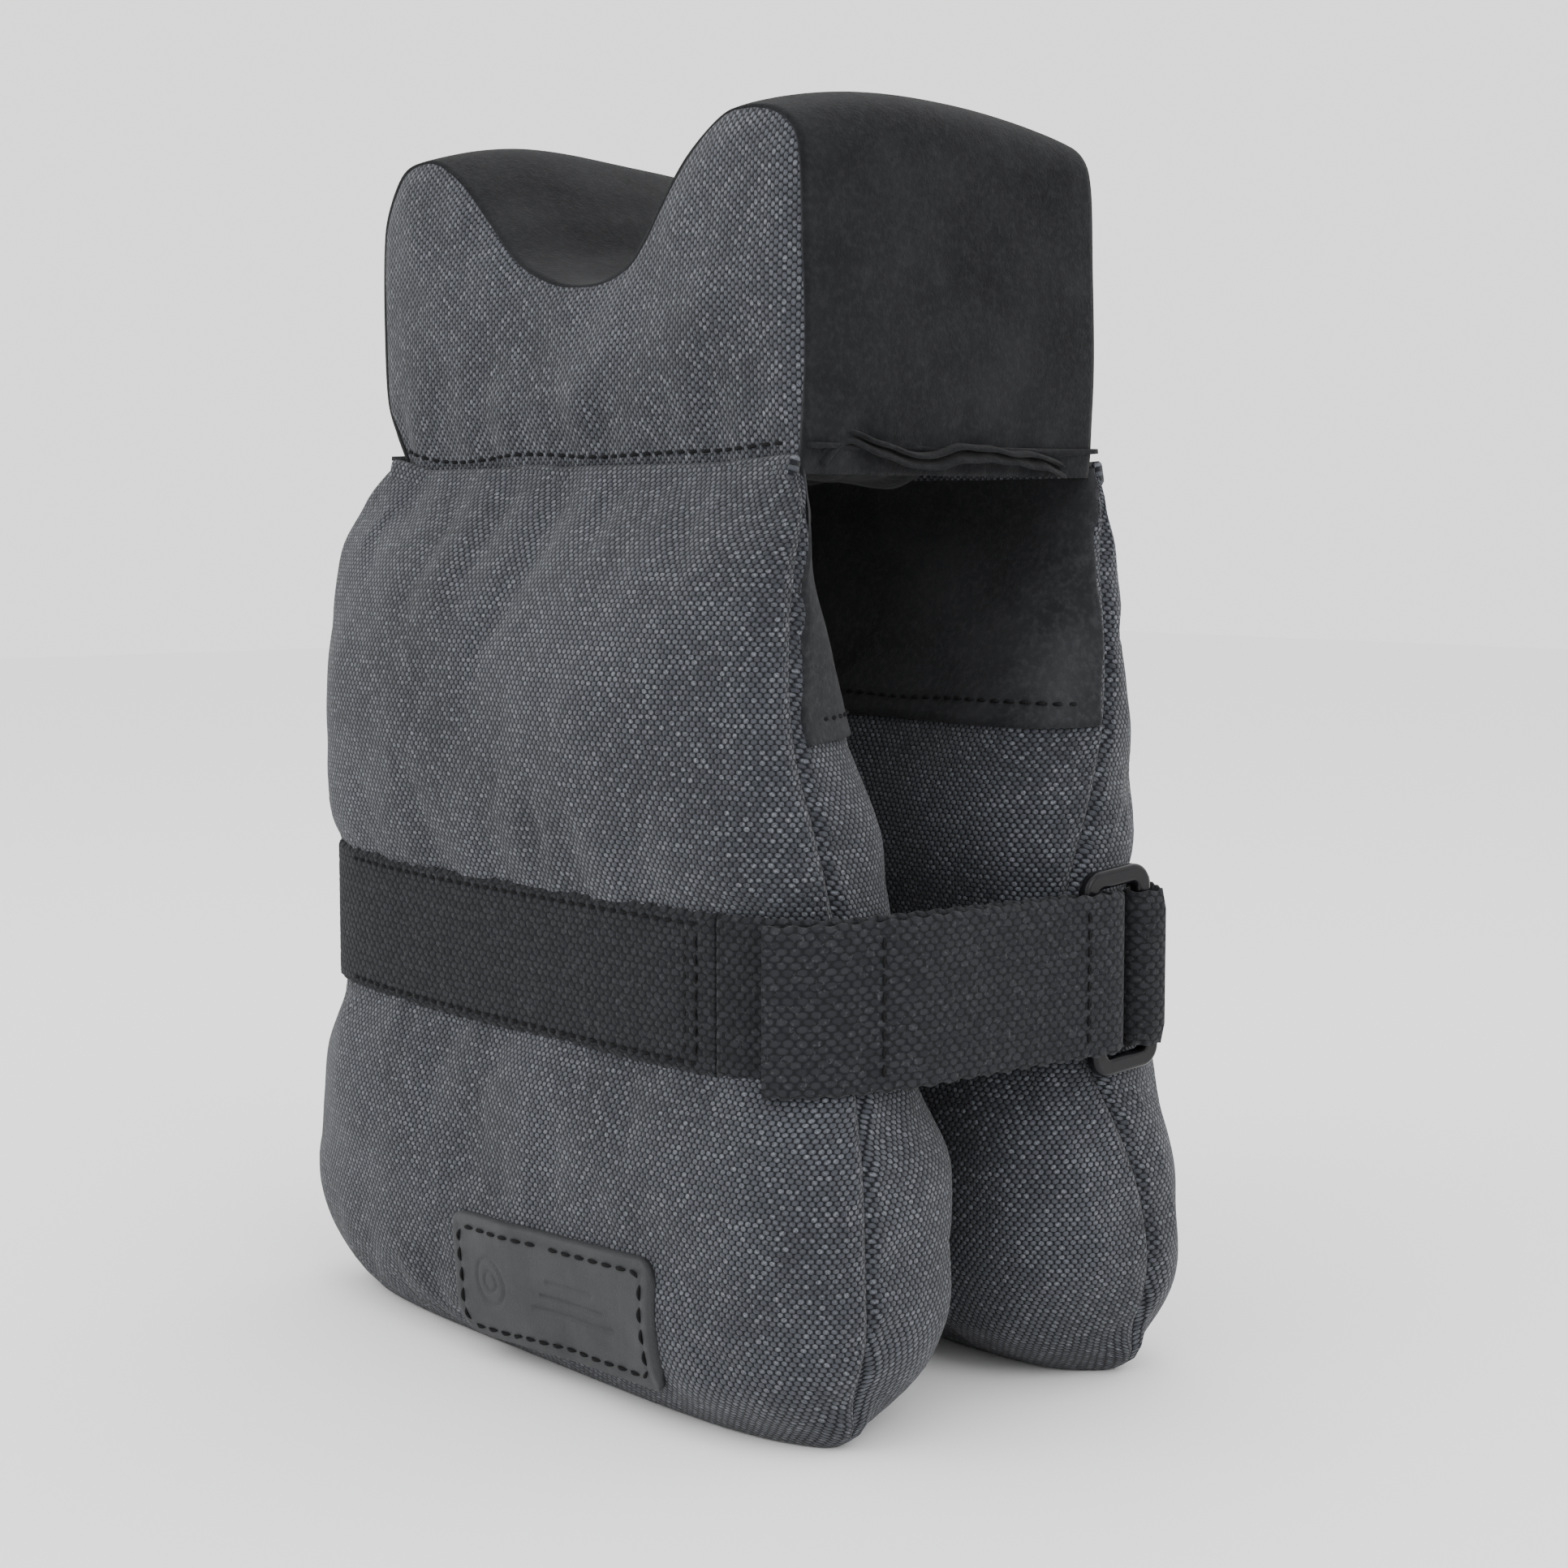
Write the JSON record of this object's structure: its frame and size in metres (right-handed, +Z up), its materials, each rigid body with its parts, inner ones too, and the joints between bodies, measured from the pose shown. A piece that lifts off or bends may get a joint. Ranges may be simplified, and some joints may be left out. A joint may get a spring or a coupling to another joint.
{
  "type": "saddle sandbag",
  "caption": "Saddle-shaped canvas and suede sandbag with a notched cushion on two filled legs that straddle a rail, tied by a webbing strap with a metal ring.",
  "frame": {"origin": "on the ground, below the middle of the bag", "axes": "+Z up, X along the tunnel between the legs, -Y towards the leg with the label, strap end at +X"},
  "size_m": [0.1923, 0.1235, 0.2636],
  "materials": {
    "canvas": "washed heavy cotton canvas, charcoal blue, pale flecks on the weave",
    "suede": "split suede, near black, fuzzy matte nap",
    "webbing": "cotton webbing, dark grey, coarse weave",
    "leather": "smooth slate grey leather with a debossed mark",
    "thread": "black sewing thread",
    "tape": "black hook-and-loop tape",
    "ring_metal": "black gloss enamel over die-cast metal",
    "sand": "dry sand fill, sealed inside"
  },
  "bodies": {
    "saddle": {"back_hem": "canvas", "back_hem_stitches": "thread", "back_leg_fill": "sand", "back_leg_inner_panel": "canvas", "back_leg_outer_panel": "canvas", "back_lining_patch": "suede", "back_lining_stitches": "thread", "front_hem": "canvas", "front_hem_stitches": "thread", "front_leg_fill": "sand", "front_leg_inner_panel": "canvas", "front_leg_outer_panel": "canvas", "front_lining_patch": "suede", "front_lining_stitches": "thread", "keeper_stitches": "thread", "label_stitches": "thread", "leather_label": "leather", "loop_patch": "tape", "main_webbing": "webbing", "ring_keeper": "webbing", "standing_strap": "webbing", "webbing_stitches": "thread"},
    "cushion": {"cushion_back_panel": "canvas", "cushion_fill": "sand", "cushion_front_panel": "canvas", "cushion_suede_band": "suede", "cushion_underside_panel": "suede", "left_seam_lips": "suede", "right_seam_lips": "suede"},
    "ring": {"ring": "ring_metal"},
    "tail": {"strap_tail": "webbing", "hook_patch": "tape", "tail_stitches": "thread"}
  },
  "joints": [
    {"name": "cushion_rock", "type": "hinge", "parent": "saddle", "child": "cushion", "pos_m": [0, 0, 0.1915], "axis": [1, 0, 0], "range_deg": [-5, 5]},
    {"name": "ring_swing", "type": "hinge", "parent": "saddle", "child": "ring", "pos_m": [0.09285, 0.036, 0.0885], "axis": [0, -0.0872, 0.9962], "range_deg": [-1.5, 1.5]},
    {"name": "tail_peel", "type": "hinge", "parent": "saddle", "child": "tail", "pos_m": [0.0974, 0.0243, 0.0885], "axis": [0, 0, 1], "range_deg": [0, 120]}
  ]
}
